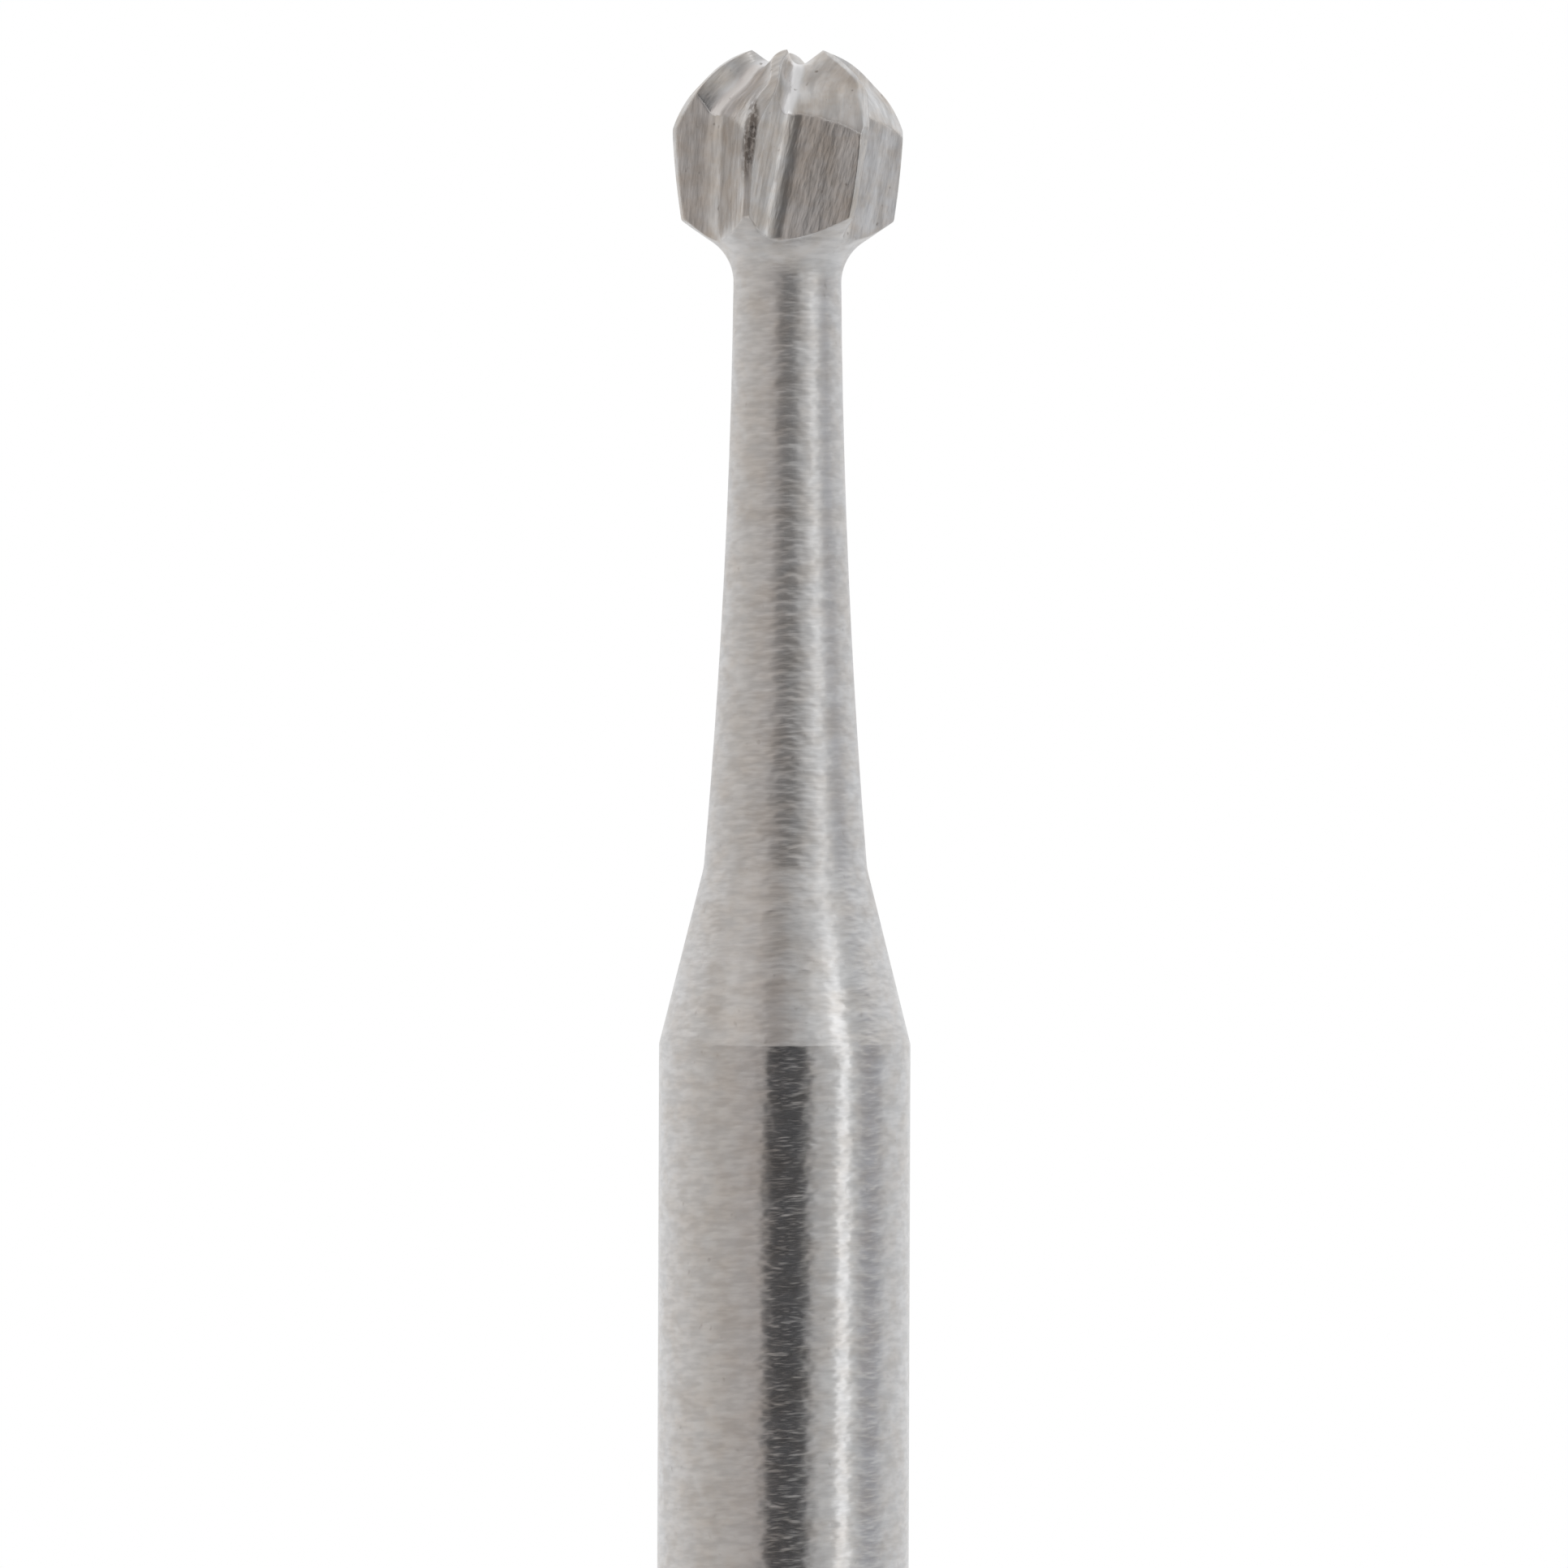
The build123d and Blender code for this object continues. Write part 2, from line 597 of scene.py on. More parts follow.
@dataclass
class Burr:
    """The whole burr: its outline, its flutes and its ground surface."""

    outline: Outline = field(default_factory=Outline)
    flutes: Flutes = field(default_factory=Flutes)
    flute_columns: int = 48
    land_columns: int = 8
    edge_round: float = 0.0022
    # the honed land's drop, its top and bottom above the dome's centre, and how it fades out there
    hone_drop: float = 0.013
    hone_top: float = 0.48
    hone_bottom: float = -0.45
    hone_fade: float = 0.11
    edge_side: float = 10.0  # the cutting edge lies below this azimuth and the heel above, in degrees
    # the sweep that finds a flute's edges, in degrees, and the samples that share out its section
    sweep_reach: float = 100.0
    sweep_steps: int = 2001
    section_steps: int = 321
    edge_gather: float = 0.7  # 0 spaces a flute's columns evenly, and 1 crowds them at its edges
    # narrowest half of a flute and of a land, in degrees
    least_flute: float = 6.0
    least_land: float = 0.6
    spread_rows: int = 16  # below the flutes, the columns spread evenly again over these rows
    near_pole: tuple[float, float] = (1e-6, 0.3)  # a way just off the axis, in radians
    # shift of the marks on the dome, and step from one flute's marks to the next
    dome_mark_shift: float = 0.13
    flute_mark_step: float = 9.0
    shank_fade: float = 1.0  # length over which the neck's finish gives way to the shank's

    def _rim(self, polar: Array, turned: Array, share: Array) -> Array:
        """The turned outline with the honed lands, which drop a little towards the cutting edge.

        Args:
            polar: angle from +Z of each row.
            turned: distance to the turned outline of each row.
            share: how far across the land each place lies, from 0 at the heel to 1 at the edge.

        Returns:
            The distance along each ray. The drop fades out above the shoulder and where the flute
            runs out behind the rear corner.
        """
        height = turned * np.cos(polar)
        from_end = np.minimum(self.hone_top - height, height - self.hone_bottom)
        fade = np.clip(from_end / self.hone_fade, 0, 1)
        return turned - self.hone_drop * fade * fade * (3 - 2 * fade) * share

    def _surface(self, polar: Array, azimuth: Array, rim: Array) -> Array:
        """Distance from the dome's centre to the ground head.

        It is the smallest of the rim and the six flutes, blended over a few micrometres as real
        edges are.

        Args:
            polar: angle from +Z.
            azimuth: angle from -Y towards +X.
            rim: distance to the outline of the lands.

        Returns:
            The distance along each ray.
        """
        sector = 2 * math.pi / self.flutes.count
        turns = np.arange(self.flutes.count) + 1 - self.flutes.count // 2
        shifts = [self.flutes.cut(polar, azimuth - k * sector, self.outline) for k in turns]
        return blend(np.stack(np.broadcast_arrays(rim, *shifts)), self.edge_round)

    def _edges(self, polar: Array, turned: Array) -> tuple[Array, Array, Array]:
        """Where flute 0 starts and ends round the axis, row by row.

        The flute is the surface wherever its distance is the smallest. The crossings are read off
        a fine sweep and set between its steps in a straight line.

        Args:
            polar: angle from +Z of each row.
            turned: distance to the turned outline of each row.

        Returns:
            Azimuth of the cutting edge, azimuth of the heel, and whether the flute is there.
        """
        sector = 2 * math.pi / self.flutes.count
        sweep = np.radians(np.linspace(-self.sweep_reach, self.sweep_reach, self.sweep_steps))
        row = polar[:, None]
        here = self.flutes.cut(row, sweep[None, :], self.outline)
        left = self.flutes.cut(row, sweep[None, :] + sector, self.outline)
        right = self.flutes.cut(row, sweep[None, :] - sector, self.outline)
        rim = self._rim(row, turned[:, None], (sweep < math.radians(self.edge_side)).astype(float))
        others = np.minimum(np.minimum(left, right), rim)
        short = np.clip(here, 0, FAR) - np.clip(others, 0, FAR)
        inside = short < 0
        found = inside.any(1)
        pick = np.arange(len(polar))

        def crossing(low: Array) -> Array:
            """The azimuth between two steps of the sweep at which the two distances agree.

            Args:
                low: number of the first of the two steps, row by row.

            Returns:
                The azimuth of each row, in radians.
            """
            a, b = short[pick, low], short[pick, low + 1]
            share = np.where(a != b, a / np.where(a != b, a - b, 1), 0.5)
            return sweep[low] + np.clip(share, 0, 1) * (sweep[low + 1] - sweep[low])

        first = np.clip(inside.argmax(1) - 1, 0, len(sweep) - 2)
        last = np.clip(len(sweep) - 1 - inside[:, ::-1].argmax(1), 0, len(sweep) - 2)
        return crossing(first), crossing(last), found

    def _columns(self, polar: Array, turned: Array) -> Array:
        """Azimuths of one sector's columns, row by row, so that they follow the blade's edges.

        The first columns share out the flute's own curve evenly, closer at its two edges, and the
        rest share out the land. Below the flutes they spread evenly again.

        Args:
            polar: angle from +Z of each row.
            turned: distance to the turned outline of each row.

        Returns:
            An array of rows by columns, in radians, starting at the cutting edge.
        """
        sector = 2 * math.pi / self.flutes.count
        edge, heel, found = self._edges(polar, turned)
        middle, half = (edge + heel) / 2, (heel - edge) / 2
        half = np.minimum(half, sector / 2 - math.radians(self.least_land))
        narrow = math.radians(self.least_flute)
        evenly = sector / 2 * self.flute_columns / (self.flute_columns + self.land_columns)
        reaches = np.flatnonzero(found & (half > narrow))
        last = reaches[-1]
        after = np.arange(len(polar)) - last
        spread = np.clip(after / self.spread_rows, 0, 1)
        spread = spread * spread * (3 - 2 * spread)
        middle = np.where(after > 0, middle[last], middle)
        half = np.where(after > 0, narrow + (evenly - narrow) * spread, half)

        share = np.linspace(0, 1, self.section_steps)
        azimuth = (middle - half)[:, None] + 2 * half[:, None] * share
        rim = self._rim(polar[:, None], turned[:, None], (share < 0.5).astype(float))
        reach = self._surface(polar[:, None], azimuth, rim)
        point = reach[..., None] * directions(polar[:, None], azimuth)
        step = np.linalg.norm(np.diff(point, axis=1), axis=-1)
        along = np.concatenate([np.zeros((len(polar), 1)), np.cumsum(step, 1)], 1)
        along /= along[:, -1:]
        even = np.arange(self.flute_columns) / self.flute_columns
        closer = even - self.edge_gather * np.sin(2 * math.pi * even) / (2 * math.pi)
        placed = np.array([np.interp(closer, known, share) for known in along])
        flute = (middle - half)[:, None] + 2 * half[:, None] * placed
        land_share = np.arange(self.land_columns) / self.land_columns
        land = (middle + half)[:, None] + (sector - 2 * half)[:, None] * land_share
        return np.concatenate([flute, land], 1)

    def _marks(self, polar: Array, azimuth: Array, reach: Array, turned: Array) -> Array:
        """Where each point of one sector lies on its flute, for the grinding marks.

        Args:
            polar: angle from +Z.
            azimuth: angle from -Y towards +X, within flute 0's sector.
            reach: distance from the dome's centre.
            turned: distance to the turned outline.

        Returns:
            Millimetres across the flute, millimetres along it, and the kind of face: turned, ground in the
            flutes and above the rear corner, and a strip along the dome groove's root where a highlight is
            painted.
        """
        ray = directions(polar, azimuth)
        x, d, h = ray[..., 0], -ray[..., 1], ray[..., 2]
        side = self.flutes.side(x, d, h, self.outline)
        dome = self.flutes.over_dome(x, d, h, self.outline)
        on_flute = np.minimum(side, dome) < turned - 2 * self.edge_round
        lean = math.tan(math.radians(self.flutes.tilt))
        px, pd, ph = x * reach, d * reach, h * reach
        out = np.hypot(pd, ph)
        on_dome = dome < side
        across = np.where(on_dome, px - out + self.dome_mark_shift, px - lean * ph - pd)
        along = np.where(on_dome, out * np.arctan2(h, d), ph)
        past_root = px - self.flutes.station(np.degrees(np.arctan2(h, d)))[0]
        off_middle = np.abs(past_root - self.flutes.painted_highlight_middle)
        inside = self.flutes.painted_highlight_end - off_middle / self.flutes.painted_highlight_width
        # painted highlight: a near-white strip along the dome groove's root
        painted_highlight = np.clip(inside, 0, 1) * on_dome * on_flute
        rear = self.outline.overall_length - self.outline.head_length - self.outline.dome_centre_z
        kind = np.where(on_flute | (ph > rear), Face.GROUND, Face.TURNED) + painted_highlight
        return np.stack([across, along, kind], -1)

    def _sector(self, rows: Array, on_head: int, polar: Array, turned: Array) -> tuple[Array, Array, Array]:
        """One sixth of the surface, a flute and a land: rows down the outline by columns round the axis.

        Head rows are rays from the dome's centre, as long as the nearest ground surface. Rows
        below the head keep the turned outline's radius and height.

        Args:
            rows: radius and height of each row.
            on_head: how many rows lie on the head.
            polar: angle from +Z of each row, seen from the dome's centre.
            turned: distance to the turned outline of each row.

        Returns:
            The azimuth, distance and marks of each point.
        """
        head = slice(0, on_head)
        head_columns = self._columns(polar[head], turned[head])
        columns = np.repeat(head_columns[-1:], len(rows), 0)
        columns[head] = head_columns
        reach = np.repeat(turned[:, None], columns.shape[1], 1)
        flute_share = np.arange(self.flute_columns) < self.flute_columns / 2
        share = np.concatenate([flute_share, np.arange(self.land_columns) / self.land_columns])
        rim = self._rim(polar[head, None], turned[head, None], share)
        reach[head] = self._surface(polar[head, None], columns[head], rim)
        marks = np.zeros((*columns.shape, 3))
        marks[head] = self._marks(polar[head, None], columns[head], reach[head], turned[head, None])
        below = (self.outline.shank_length + self.shank_fade - rows[:, 1]) / self.shank_fade
        marks[..., 2] -= np.clip(below, 0, 1)[:, None]
        return columns, reach, marks

    def _pole_reach(self) -> float:
        """Distance from the dome's centre to the middle of the crown."""
        polar, azimuth = np.array(self.near_pole)[:, None]
        return float(self._surface(polar, azimuth, np.array([self.outline.dome_radius]))[0])

    def build(self) -> bpy.types.Object:
        """Makes the burr's surface: six equal sectors round the axis, closed at the crown and the end.

        Returns:
            The finished mesh object.
        """
        rows, on_head = self.outline.rows()
        centre = self.outline.dome_centre_z
        offset = rows[:, 1] - centre
        polar, turned = np.arctan2(rows[:, 0], offset), np.hypot(rows[:, 0], offset)
        columns, reach, marks = self._sector(rows, on_head, polar, turned)

        flutes = np.arange(self.flutes.count)
        turns = flutes * (2 * math.pi / self.flutes.count)
        azimuth = (columns[:, None, :] + turns[None, :, None]).reshape(len(rows), -1)
        around = np.tile(reach, (1, self.flutes.count))
        points = around[..., None] * directions(polar[:, None], azimuth) + [0, 0, centre]
        marks = np.tile(marks, (1, self.flutes.count, 1))
        marks[..., 1] += self.flute_mark_step * np.repeat(flutes, columns.shape[1])

        ring, pole = azimuth.shape[1], azimuth.size
        end = pole + 1
        middles = [[0, 0, centre + self._pole_reach()], [0, 0, 0]]
        verts = np.vstack([points.reshape(-1, 3), middles]) * MM
        i = np.arange(len(rows) - 1)[:, None] * ring
        j = np.arange(ring)[None, :]
        k = (j + 1) % ring
        quads = np.stack([i + j, i + ring + j, i + ring + k, i + k], -1).reshape(-1, 4)
        j, k = j[0], k[0]
        top = np.stack([np.full(ring, pole), j, k], -1)
        last = (len(rows) - 1) * ring
        bottom = np.stack([np.full(ring, end), last + k, last + j], -1)
        values = np.vstack([marks.reshape(-1, 3), [[0, 0, Face.GROUND], [0, 0, Face.TURNED]]])
        return surface("burr_ground", verts, quads, np.vstack([top, bottom]), values)


@dataclass(frozen=True)
class Pattern:
    """Noise whose cells measure one period each way, in millimetres.

    A period of 0 means that the pattern doesn't change that way.
    """

    period: tuple[float, float, float]
    detail: float = 2.0
    roughness: float = 0.6

    def laid(self, tree: bpy.types.NodeTree, place: Any) -> bpy.types.Node:
        """Lays the pattern over the surface.

        Args:
            tree: the material's node tree.
            place: where each point lies, in millimetres.

        Returns:
            The node that gives the pattern, from 0 to 1.
        """
        cells = tuple(1 / size if size else 0.0 for size in self.period)
        scaled = node(tree, "Mapping", {}, place, Scale=cells)
        return node(tree, "TexNoise", {}, scaled, Scale=1.0, Detail=self.detail, Roughness=self.roughness)


@dataclass(frozen=True)
class Stain:
    """One dark, ragged stain on a blade: a leaning spheroid, broken up by noise."""

    colour: str = "#8a8480"
    place: tuple[float, float, float] = (-0.241, -0.70, 18.44)
    size: tuple[float, float, float] = (0.060, 0.32, 0.36)  # the spheroid's radii
    tilt: float = 7.0
    edge: tuple[float, float] = (0.5, 1.0)  # shares of the radius between which it fades out
    gaps: Pattern = Pattern((0.025, 0.06, 0.045), 3.0)
    gap_range: tuple[float, float] = (0.36, 0.58)
    in_gaps: float = 0.25

    def share(self, tree: bpy.types.NodeTree, in_mm: Any) -> bpy.types.Node:
        """How much of the stain covers each place, fading out towards the spheroid's skin.

        Args:
            tree: the material's node tree.
            in_mm: where each point lies, in millimetres.

        Returns:
            The node that gives the share.
        """
        tilt = (0.0, math.radians(self.tilt), 0.0)
        local = node(tree, "Mapping", {"vector_type": "TEXTURE"}, in_mm, self.place, tilt, self.size)
        far = node(tree, "VectorMath", {"operation": "LENGTH"}, local)
        inside = node(tree, "MapRange", SOFTLY, far, *self.edge, 1.0, 0.0)
        gaps = self.gaps.laid(tree, in_mm)
        ragged = node(tree, "MapRange", SOFTLY, gaps, *self.gap_range, self.in_gaps, 1.0)
        return node(tree, "Math", TIMES, inside, ragged)


@dataclass(frozen=True)
class GroundHardMetal:
    """Cemented tungsten carbide, ground and left bare.

    The metal is a neutral grey. Turned faces carry fine rings that break up what they mirror, most on the
    neck and least on the shank, with faintly darker and lighter rings between them. The flutes carry scores
    along the wheel's way, faint brownish patches and small dark pores between the grains. Along the root of
    the short grooves over the dome a near-white highlight is painted into the colour, and one blade has a
    dark stain. Rings and scores are drawn coarser than real, so that they show.
    """

    bright: str = "#dededf"
    dull: str = "#d2cbc4"
    pore: str = "#9b9590"
    # near-white colour of the highlight painted along the dome groove's root
    painted_highlight_colour: str = "#fbfafb"
    stain: Stain = Stain()
    # on turned faces: broad rings, fine rings between them and the sway of both
    rings: Pattern = Pattern((0.18, 0.18, 0.034))
    fine_rings: Pattern = Pattern((0.045, 0.045, 0.012))
    sway: Pattern = Pattern((0.13, 0.13, 0.055), 1.0)
    ring_slant: float = 3.0
    # along the flutes: the wheel's scores, broader streaks and the broadest bands
    scores: Pattern = Pattern((0.014, 0.22, 0.0))
    streaks: Pattern = Pattern((0.036, 0.15, 0.0))
    bands: Pattern = Pattern((0.085, 0.45, 0.0), 1.0)
    patches: Pattern = Pattern((0.22, 0.22, 0.16), 3.0)
    pores: Pattern = Pattern((0.045, 0.045, 0.060), 1.0)
    # shares of the finer patterns in the relief, and the depth of the relief in millimetres
    ring_share: float = 0.30
    fine_share: float = 0.06
    score_share: float = 0.11
    neck_rings: float = 0.0075
    shank_rings: float = 0.0048
    wheel_scores: float = 0.0030
    # from which to which strength of a pattern its effect rises, and how strong the effect is
    patch_range: tuple[float, float] = (0.30, 0.75)
    turned_patches: float = 0.55
    shade_range: tuple[float, float] = (0.70, 1.30)
    turned_shade: tuple[float, float] = (0.89, 1.07)
    flute_shade: tuple[float, float] = (0.86, 1.14)
    pore_range: tuple[float, float] = (0.69, 0.86)
    turned_pores: float = 0.3
    shank_roughness: float = 0.20
    neck_roughness: float = 0.33
    flute_roughness: float = 0.28

    def make(self) -> bpy.types.Material:
        """Builds the material, from each point's place, its marks and its kind of face.

        Returns:
            The finished material.
        """
        made = bpy.data.materials.new("ground_carbide")
        made.use_nodes = True
        tree = made.node_tree
        tree.nodes.clear()
        place = node(tree, "TexCoord", {}).outputs["Object"]
        in_mm = node(tree, "Mapping", {}, place, Scale=(1 / MM, 1 / MM, 1 / MM))
        slanted = node(tree, "Mapping", {}, in_mm, Rotation=(0.0, math.radians(self.ring_slant), 0.0))
        marks = node(tree, "Attribute", {"attribute_name": "marks"}).outputs["Vector"]
        kind = node(tree, "SeparateXYZ", {}, marks).outputs["Z"]
        neck = node(tree, "MapRange", SOFTLY, kind, float(Face.SHANK), float(Face.TURNED))
        flute = node(tree, "MapRange", SOFTLY, kind, float(Face.TURNED), float(Face.GROUND))
        # share of the painted highlight along the dome groove's root
        painted_highlight = node(tree, "MapRange", SOFTLY, kind, float(Face.GROUND), float(Face.PAINTED_HIGHLIGHT))
        rings, sway = self.rings.laid(tree, slanted), self.sway.laid(tree, slanted)
        streaks = self.streaks.laid(tree, marks)

        # relief: rings on the turned faces, and scores and streaks along the flutes
        ring_part = node(tree, "Math", TIMES, rings, self.ring_share)
        fine_part = node(tree, "Math", TIMES, self.fine_rings.laid(tree, slanted), self.fine_share)
        ringed = node(tree, "Math", ADDED, node(tree, "Math", ADDED, sway, ring_part), fine_part)
        score_part = node(tree, "Math", TIMES, self.scores.laid(tree, marks), self.score_share)
        scored = node(tree, "Math", ADDED, score_part, streaks)
        ring_depths = self.shank_rings * MM, self.neck_rings * MM
        ring_depth = node(tree, "MapRange", SOFTLY, neck, 0.0, 1.0, *ring_depths)
        height = node(tree, "Mix", VALUES, flute, ringed, scored)
        depth = node(tree, "Mix", VALUES, flute, ring_depth, self.wheel_scores * MM)
        bump = node(tree, "Bump", {}, Strength=1.0, Distance=depth, Height=height)

        # colour: grey with duller patches, shaded by the marks, then the painted highlight along the dome
        # groove's root, the pores and the stain
        patches = node(tree, "MapRange", SOFTLY, self.patches.laid(tree, in_mm), *self.patch_range)
        patch_share = node(tree, "Mix", VALUES, flute, self.turned_patches, 1.0)
        patches = node(tree, "Math", TIMES, patches, patch_share)
        colour = node(tree, "Mix", COLOURS, patches, linear(self.bright), linear(self.dull))
        ring_sum = node(tree, "Math", ADDED, rings, sway)
        ring_shade = node(tree, "MapRange", SOFTLY, ring_sum, *self.shade_range, *self.turned_shade)
        band_sum = node(tree, "Math", ADDED, self.bands.laid(tree, marks), streaks)
        band_shade = node(tree, "MapRange", SOFTLY, band_sum, *self.shade_range, *self.flute_shade)
        shade = node(tree, "Mix", VALUES, flute, ring_shade, band_shade)
        colour = node(tree, "Mix", TINTED, 1.0, colour, shade)
        # painted highlight: the dome groove's root is coloured near-white
        colour = node(tree, "Mix", COLOURS, painted_highlight, colour, linear(self.painted_highlight_colour))
        pores = node(tree, "MapRange", SOFTLY, self.pores.laid(tree, in_mm), *self.pore_range)
        pore_share = node(tree, "MapRange", SOFTLY, flute, 0.0, 1.0, self.turned_pores, 1.0)
        pores = node(tree, "Math", TIMES, pores, pore_share)
        colour = node(tree, "Mix", COLOURS, pores, colour, linear(self.pore))
        colour = node(tree, "Mix", COLOURS, self.stain.share(tree, in_mm), colour, linear(self.stain.colour))

        # sheen: the shank mirrors most sharply and the neck least
        turned_range = self.shank_roughness, self.neck_roughness
        turned_rough = node(tree, "MapRange", SOFTLY, neck, 0.0, 1.0, *turned_range)
        rough = node(tree, "Mix", VALUES, flute, turned_rough, self.flute_roughness)
        metal = node(
            tree, "BsdfPrincipled", {}, Base_Color=colour, Metallic=1.0, Roughness=rough, Normal=bump
        )
        node(tree, "OutputMaterial", {}, metal)
        return made


@dataclass(frozen=True)
class FloorPaper:
    """Matt white paper: a pale, even floor with no gloss."""

    colour: str = "#f6f6f6"
    roughness: float = 0.9

    def make(self) -> bpy.types.Material:
        """Builds the material.

        Returns:
            The finished material.
        """
        made = bpy.data.materials.new("floor_paper")
        made.use_nodes = True
        tree = made.node_tree
        tree.nodes.clear()
        paper = node(tree, "BsdfPrincipled", {}, Base_Color=linear(self.colour), Roughness=self.roughness)
        node(tree, "OutputMaterial", {}, paper)
        return made


@dataclass(frozen=True)
class SoftBox:
    """A soft bright patch on the tent, between two azimuths from -Y towards +X, in degrees."""

    first: float
    last: float
    soft: float  # width of its soft edges
    foot: float  # height it starts at, as a share of the tent's
    light: float
    rise: float = 0.12

    def share(self, tree: bpy.types.NodeTree, turned: Any, up: Any, top: Any) -> bpy.types.Node:
        """How much of the patch lies each way.

        It is the product of four soft steps: two at its sides, one at its foot and one at its top.

        Args:
            tree: the world's node tree.
            turned: the azimuth of the way, in radians.
            up: the height of the way.
            top: the soft step at the top, which all soft boxes share.

        Returns:
            The node that gives the share.
        """
        from_first = math.radians(self.first - self.soft), math.radians(self.first)
        to_last = math.radians(self.last), math.radians(self.last + self.soft)
        near = node(tree, "MapRange", SOFTLY, turned, *from_first)
        far = node(tree, "MapRange", SOFTLY, turned, *to_last, 1.0, 0.0)
        above = node(tree, "MapRange", SOFTLY, up, self.foot - self.rise, self.foot + self.rise)
        sides, heights = node(tree, "Math", TIMES, near, far), node(tree, "Math", TIMES, above, top)
        return node(tree, "Math", TIMES, sides, heights)


@dataclass
class Studio:
    """A pale floor, a soft light tent open at the front, one lamp and the camera.

    Lengths are in millimetres, azimuths in degrees from -Y towards +X, and heights in the tent are
    shares of its own.
    """

    floor_radius: float = 19.0
    floor_rings: int = 11
    floor_sides: int = 96
    # each wall's shade by depth, from the front at 0 to the back at 1
    left_wall: tuple[tuple[float, str], ...] = (
        (0.0, "#b2aca8"),
        (0.3, "#c3beb9"),
        (0.7, "#dbd8d5"),
        (1.0, "#eaeaea"),
    )
    right_wall: tuple[tuple[float, str], ...] = (
        (0.0, "#b1afad"),
        (0.3, "#c6c6c5"),
        (0.7, "#d6d6d6"),
        (1.0, "#eaeaea"),
    )
    walls_meet: tuple[float, float] = (-0.15, 0.15)
    panel_colour: str = "#cfcfd4"
    panel_near: tuple[float, float] = (66, 82)
    panel_far: tuple[float, float] = (90, 108)
    panel_foot: tuple[float, float] = (-0.14, -0.02)
    panel_top: tuple[float, float] = (0.16, 0.40)
    soft_boxes: tuple[SoftBox, ...] = (
        SoftBox(first=-62, last=-30, soft=14, foot=0.18, light=0.13),
        SoftBox(first=-170, last=-105, soft=20, foot=0.34, light=0.16),
        SoftBox(first=10, last=50, soft=14, foot=0.24, light=0.17),
        SoftBox(first=34, last=66, soft=12, foot=-0.30, light=0.06),
        SoftBox(first=96, last=150, soft=20, foot=0.22, light=0.12),
    )
    soft_box_top: tuple[float, float] = (0.50, 0.76)
    gap_colour: str = "#2a2b2f"
    gap_middle: float = 2.0
    gap_side: tuple[float, float] = (13, 26)
    gap_height: tuple[float, float] = (0.05, 0.22)
    veil_height: tuple[float, float] = (0.45, 0.75)
    veil: float = 0.78  # how much of the gap the veil covers
    lamp_light: float = 0.55
    lamp_width: float = 41.0
    lamp_length: float = 220.0
    lamp_azimuth: float = 56.0
    lamp_distance: float = 180.0
    lamp_height: float = 62.0
    lamp_aim: float = 16.0  # height of the point on the axis that it faces
    camera_distance: float = 111.4
    camera_height: float = 14.335
    camera_shift: float = -0.0105
    camera_roll: float = 0.2
    frame_width: float = 9.981
    sensor_width: float = 36.0
    clip: tuple[float, float] = (0.001, 10.0)  # in metres

    def floor(self) -> bpy.types.Object:
        """A pale round floor under the shank: rings of points on a flat disc, and its middle.

        Returns:
            The floor's mesh object, with its paper on.
        """
        radius = np.linspace(0, self.floor_radius, self.floor_rings + 1)[1:, None]
        angle = np.linspace(0, 2 * math.pi, self.floor_sides, endpoint=False)[None, :]
        x, y = radius * np.cos(angle), radius * np.sin(angle)
        flat = np.stack([x, y, np.zeros_like(x)], -1)
        verts = np.vstack([flat.reshape(-1, 3), [[0, 0, 0]]]) * MM
        ring = self.floor_sides
        i, j = np.arange(self.floor_rings - 1)[:, None] * ring, np.arange(ring)[None, :]
        k = (j + 1) % ring
        quads = np.stack([i + j, i + ring + j, i + ring + k, i + k], -1).reshape(-1, 4)
        middle = np.stack([np.full(ring, len(verts) - 1), j[0], k[0]], -1)
        made = surface("floor", verts, quads, middle)
        made.data.materials.append(FloorPaper().make())
        return made

    @staticmethod
    def _wall(tree: bpy.types.NodeTree, depth: Any, stops: tuple[tuple[float, str], ...]) -> bpy.types.Node:
        """One wall of the tent, whose shade changes evenly between its stops.

        Args:
            tree: the world's node tree.
            depth: how far back each way points, from 0 to 1.
            stops: a depth and its colour each.

        Returns:
            The node that gives the wall's colour.
        """
        made = node(tree, "ValToRGB", {}, depth)
        elements = made.color_ramp.elements
        for at, _ in stops[1:-1]:
            elements.new(at)
        for element, (at, code) in zip(elements, stops):
            element.position, element.color = at, linear(code)
        return made

    def _panel(self, tree: bpy.types.NodeTree, turned: Any, up: Any) -> bpy.types.Node:
        """How much of the darker panel on the right lies each way.

        It is the product of four soft steps, one for each side of the panel.

        Args:
            tree: the world's node tree.
            turned: the azimuth of the way, in radians.
            up: the height of the way.

        Returns:
            The node that gives the share.
        """
        near = node(tree, "MapRange", SOFTLY, turned, *np.radians(self.panel_near))
        far = node(tree, "MapRange", SOFTLY, turned, *np.radians(self.panel_far), 1.0, 0.0)
        foot = node(tree, "MapRange", SOFTLY, up, *self.panel_foot)
        top = node(tree, "MapRange", SOFTLY, up, *self.panel_top, 1.0, 0.0)
        sides, heights = node(tree, "Math", TIMES, near, far), node(tree, "Math", TIMES, foot, top)
        return node(tree, "Math", TIMES, sides, heights)

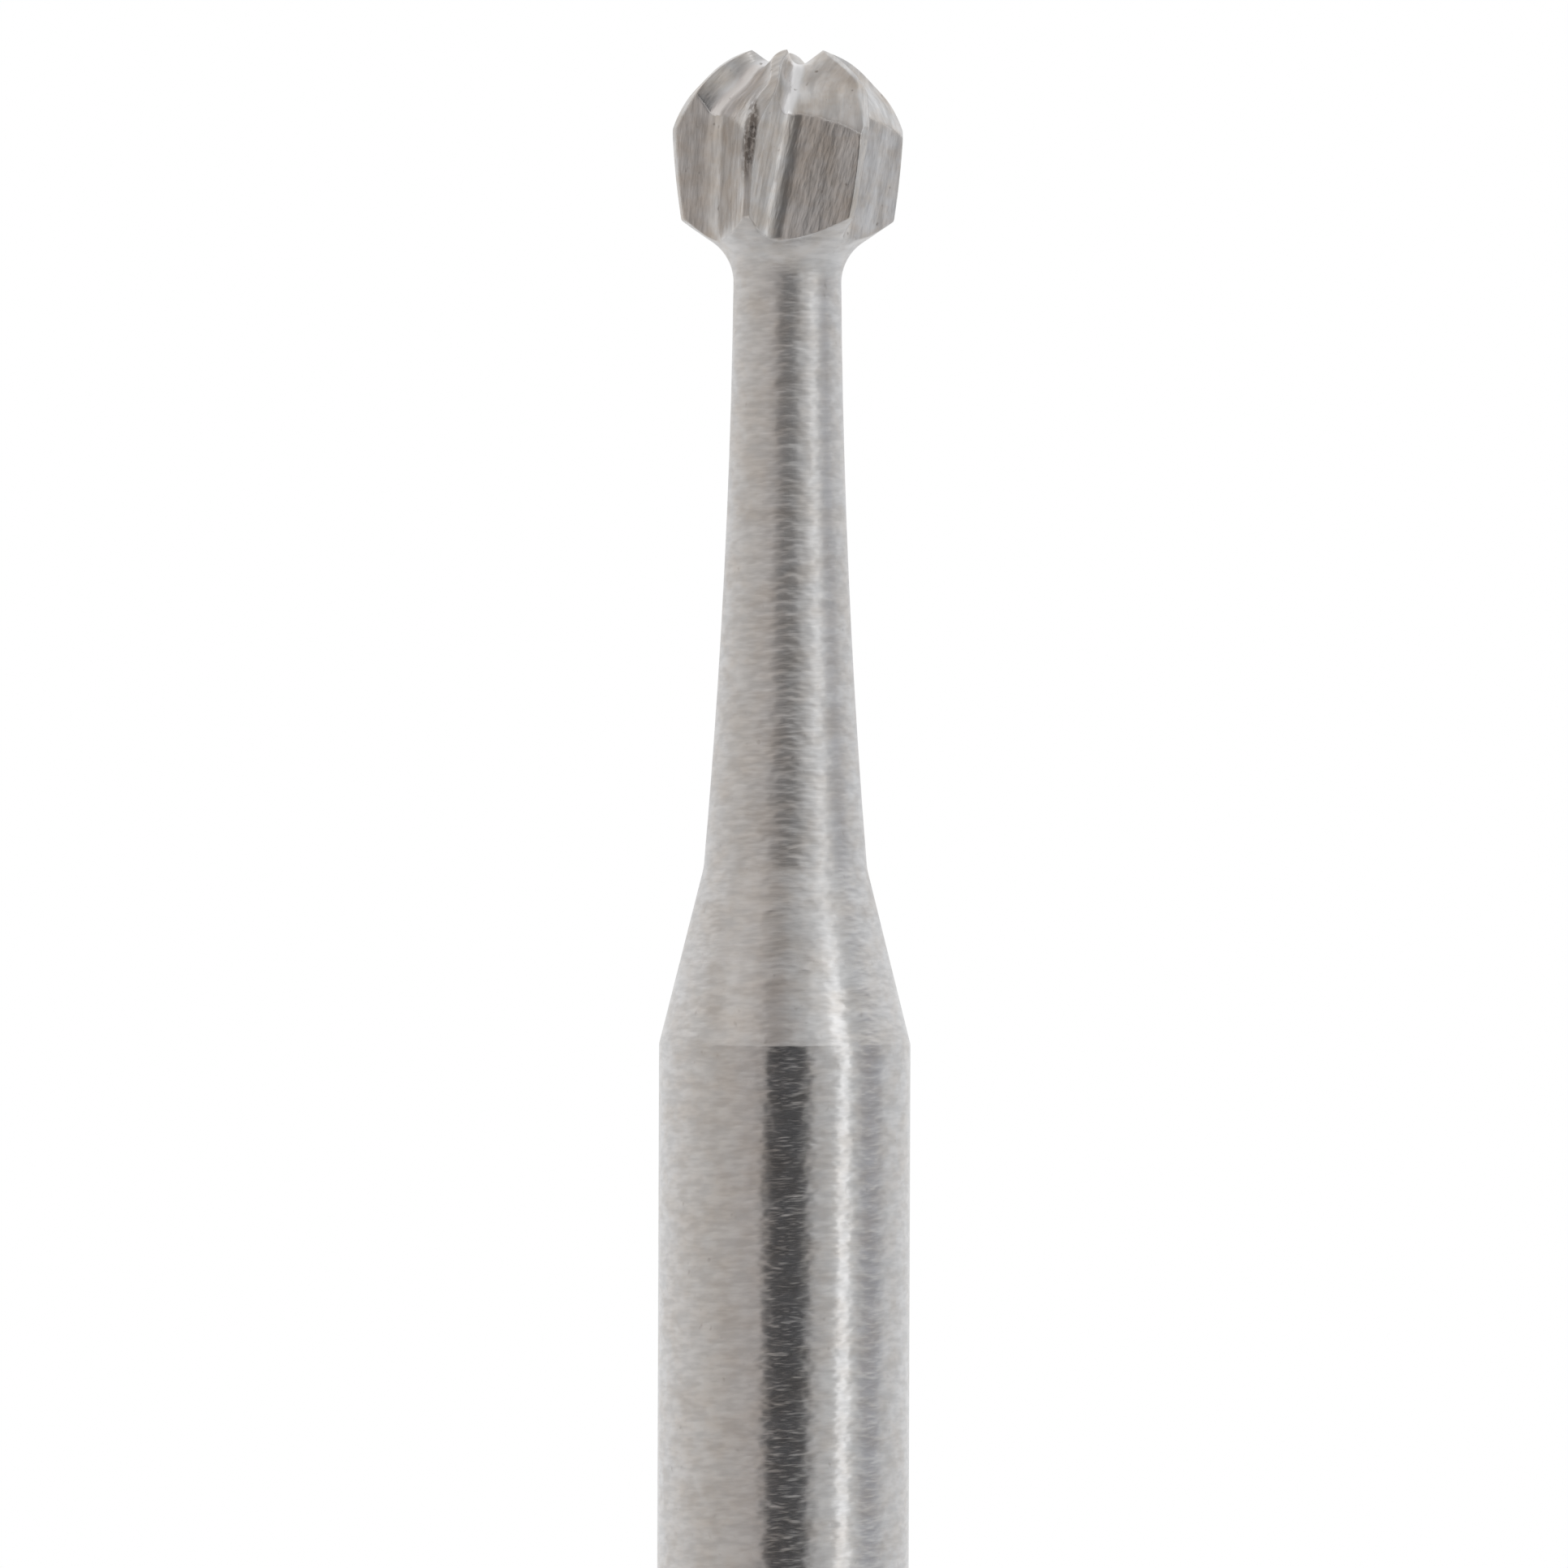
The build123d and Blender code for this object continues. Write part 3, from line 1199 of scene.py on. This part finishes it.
    def _gap(self, tree: bpy.types.NodeTree, turned: Any, up: Any) -> bpy.types.Node:
        """How far the tent covers the dark gap in front.

        The gap is open at the burr's own level only. Above and below that a veil covers most of it,
        and further up and down the tent is whole again, as it is on both sides of the gap.

        Args:
            tree: the world's node tree.
            turned: the azimuth of the way, in radians.
            up: the height of the way.

        Returns:
            The node that gives the share, from 0 in the gap to 1 on the tent.
        """
        height = node(tree, "Math", {"operation": "ABSOLUTE"}, up)
        off_middle = node(tree, "Math", {"operation": "SUBTRACT"}, turned, math.radians(self.gap_middle))
        beside = node(tree, "Math", {"operation": "ABSOLUTE"}, off_middle)
        side = node(tree, "MapRange", SOFTLY, beside, *np.radians(self.gap_side))
        veil = node(tree, "MapRange", SOFTLY, height, *self.gap_height, 0.0, self.veil)
        above = node(tree, "MapRange", SOFTLY, height, *self.veil_height, 0.0, 1.0 - self.veil)
        return node(tree, "Math", {"operation": "MAXIMUM"}, side, node(tree, "Math", ADDED, veil, above))

    def world(self) -> None:
        """The light tent: pale walls that brighten backwards, a panel, soft boxes and a dark gap.

        The left wall is warmer than the right one. The camera sees plain white instead of the tent.
        """
        world = bpy.data.worlds.new("tent")
        world.use_nodes = True
        bpy.context.scene.world = world
        tree = world.node_tree
        tree.nodes.clear()
        way = node(tree, "TexCoord", {}).outputs["Generated"]
        right, away, up = node(tree, "SeparateXYZ", {}, way).outputs
        towards = node(tree, "Math", TIMES, away, -1.0)
        turned = node(tree, "Math", {"operation": "ARCTAN2"}, right, towards)
        depth = node(tree, "MapRange", {}, away, -1.0, 1.0)
        left = self._wall(tree, depth, self.left_wall)
        side = node(tree, "MapRange", SOFTLY, right, *self.walls_meet)
        tent = node(tree, "Mix", COLOURS, side, left, self._wall(tree, depth, self.right_wall))
        tent = node(tree, "Mix", TINTED, self._panel(tree, turned, up), tent, linear(self.panel_colour))
        top = node(tree, "MapRange", SOFTLY, up, *self.soft_box_top, 1.0, 0.0)
        for box in self.soft_boxes:
            light = (box.light, box.light, box.light, 1.0)
            tent = node(tree, "Mix", LIT, box.share(tree, turned, up, top), tent, light)
        tent = node(tree, "Mix", COLOURS, self._gap(tree, turned, up), linear(self.gap_colour), tent)
        seen = node(tree, "LightPath", {}).outputs["Is Camera Ray"]
        shown = node(tree, "Mix", COLOURS, seen, tent, linear("#ffffff"))
        node(tree, "OutputWorld", {}, node(tree, "Background", {}, shown, 1.0))

    def lamp(self) -> None:
        """One tall soft lamp to the right of the front, above the head and facing the neck."""
        light = bpy.data.lights.new("soft_box", "AREA")
        light.shape = "RECTANGLE"
        light.size, light.size_y = self.lamp_width * MM, self.lamp_length * MM
        light.energy = self.lamp_light * math.pi * light.size * light.size_y
        made = bpy.data.objects.new("soft_box", light)
        bpy.context.scene.collection.objects.link(made)
        turn, far = math.radians(self.lamp_azimuth), self.lamp_distance * MM
        place = Vector((math.sin(turn) * far, -math.cos(turn) * far, self.lamp_height * MM))
        facing = (place - Vector((0, 0, self.lamp_aim * MM))).to_track_quat("Z", "Y")
        made.matrix_world = Matrix.Translation(place) @ facing.to_matrix().to_4x4()

    def camera(self) -> None:
        """A long lens level with the upper neck, square to the front."""
        lens = bpy.data.cameras.new("camera")
        lens.sensor_width = self.sensor_width
        lens.lens = self.sensor_width * self.camera_distance / self.frame_width
        lens.clip_start, lens.clip_end = self.clip
        made = bpy.data.objects.new("camera", lens)
        bpy.context.scene.collection.objects.link(made)
        made.matrix_world = (
            Matrix.Translation(Vector((self.camera_shift, -self.camera_distance, self.camera_height)) * MM)
            @ Matrix.Rotation(math.radians(90), 4, "X")
            @ Matrix.Rotation(math.radians(self.camera_roll), 4, "Z")
        )
        bpy.context.scene.camera = made


def main() -> None:
    """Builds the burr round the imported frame, then the studio."""
    logging.basicConfig(level=logging.INFO, format="%(name)s: %(message)s")
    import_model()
    burr = Burr().build()
    burr.data.materials.append(GroundHardMetal().make())
    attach(burr, "root")
    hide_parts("burr")
    LOG.info("%s: %d faces", burr.name, len(burr.data.polygons))
    studio = Studio()
    studio.floor()
    studio.world()
    studio.lamp()
    studio.camera()
    bpy.context.scene.view_settings.view_transform = "Standard"


if __name__ == "__main__":
    main()
